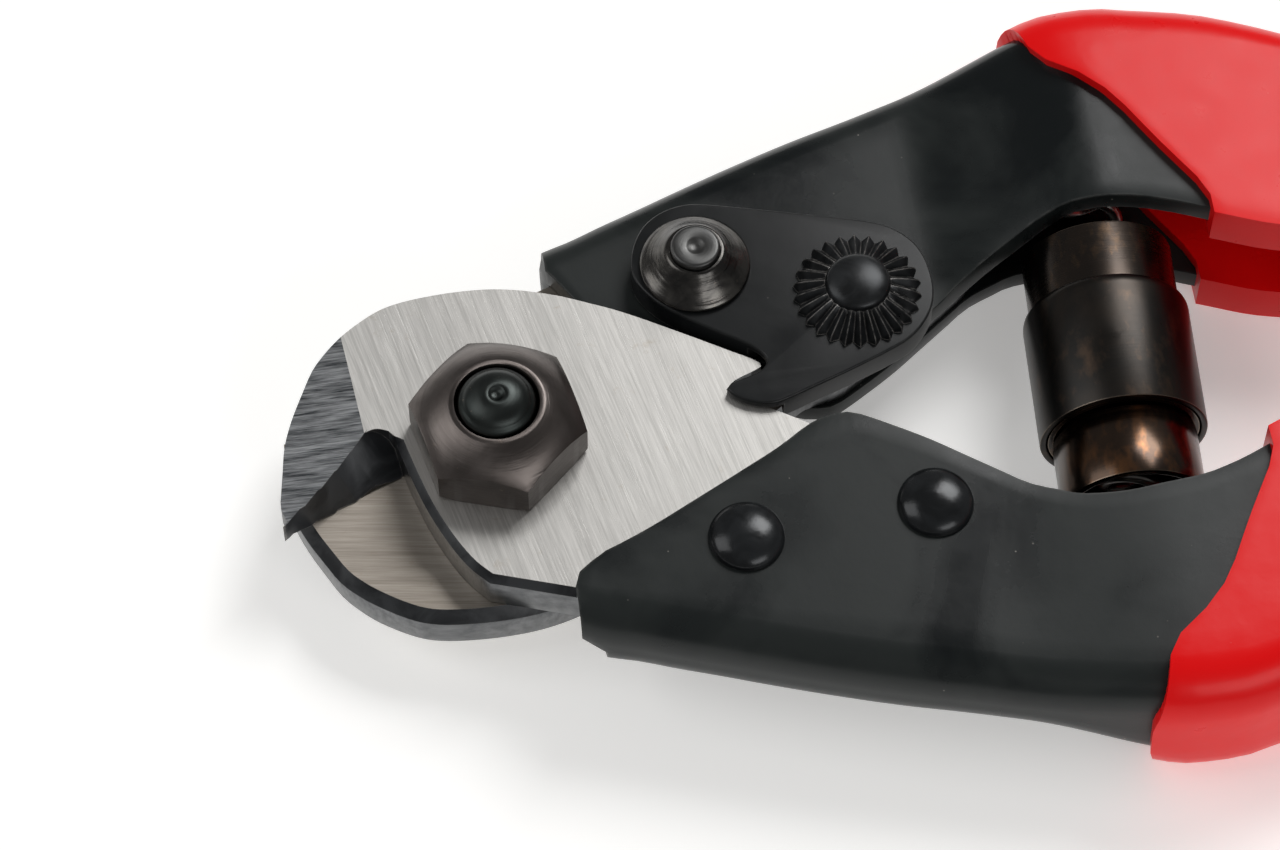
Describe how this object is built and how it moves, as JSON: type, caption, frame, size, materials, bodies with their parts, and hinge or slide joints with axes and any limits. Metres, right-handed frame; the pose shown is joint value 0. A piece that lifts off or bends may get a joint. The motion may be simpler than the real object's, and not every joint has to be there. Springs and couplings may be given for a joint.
{
  "type": "one-hand wire rope cutter",
  "caption": "Compact one-hand cutter for trellis and fence wire rope, with shear blades on a pivot bolt, a thumb latch, a spring in a telescoping guard and dipped channel handles.",
  "frame": {"origin": "centre of the pivot bolt head's underside, where the tool rests lying down", "axes": "+X from the jaws towards the grips, +Y towards the latch handle, +Z along the pivot bolt towards its nut"},
  "size_m": [0.1901, 0.0686, 0.019],
  "materials": {
    "blade_steel": "ground hardened tool steel, fine parallel grinding lines",
    "nut_steel": "turned, dark brown oiled black oxide",
    "bolt_steel": "black oxide, satin",
    "handle_steel": "blue-black oven coat on pressed sheet, semi-gloss",
    "latch_steel": "black oxide, worn bright on the edges",
    "rivet_steel": "black oxide, semi-gloss",
    "vinyl_red": "dipped vinyl, glossy",
    "tube_steel": "burnished oil-black with brown temper colours",
    "spring_steel": "spring wire, oiled"
  },
  "bodies": {
    "lower_side": {"front_blade": "blade_steel", "pivot_bolt": "bolt_steel", "pivot_nut": "nut_steel", "lower_handle": "handle_steel", "lower_rivet_front": "rivet_steel", "lower_rivet_rear": "rivet_steel", "lower_grip": "vinyl_red", "lower_spring_seat": "bolt_steel", "coil_spring": "spring_steel"},
    "upper_side": {"rear_blade": "blade_steel", "upper_handle": "handle_steel", "upper_rivet": "rivet_steel", "latch_rivet": "rivet_steel", "latch_spring_washer": "rivet_steel", "upper_grip": "vinyl_red", "upper_spring_seat": "bolt_steel"},
    "latch": {"latch_plate": "latch_steel", "latch_thumb_button": "latch_steel"},
    "upper_tube": {"upper_spring_tube": "tube_steel"},
    "lower_tube": {"lower_spring_tube": "tube_steel"},
    "sleeve": {"guard_sleeve": "tube_steel"}
  },
  "joints": [
    {"name": "main_pivot", "type": "hinge", "parent": "lower_side", "child": "upper_side", "pos_m": [0, 0, 0.0076], "axis": [0, 0, 1], "range_deg": [0, 22], "deforming": ["coil_spring"]},
    {"name": "latch_pivot", "type": "hinge", "parent": "upper_side", "child": "latch", "pos_m": [0.0186, 0.0134, 0.0098], "axis": [0, 0, 1], "range_deg": [0, 28]},
    {"name": "upper_tube_swing", "type": "hinge", "parent": "upper_side", "child": "upper_tube", "pos_m": [0.05301, 0.0086, 0.0076], "axis": [0, 0, 1], "range_deg": [-11, 0]},
    {"name": "lower_tube_swing", "type": "hinge", "parent": "lower_side", "child": "lower_tube", "pos_m": [0.05147, -0.01535, 0.0076], "axis": [0, 0, 1], "range_deg": [0, 11]},
    {"name": "sleeve_slide", "type": "slide", "parent": "upper_tube", "child": "sleeve", "axis": [-0.0645, -0.9979, 0], "range_m": [0, 0.0098]}
  ],
  "couplings": [
    {"joint": "upper_tube_swing", "follows": "main_pivot", "ratio": -0.5},
    {"joint": "lower_tube_swing", "follows": "main_pivot", "ratio": 0.5},
    {"joint": "sleeve_slide", "follows": "main_pivot", "m_per_rad": 0.0254}
  ]
}
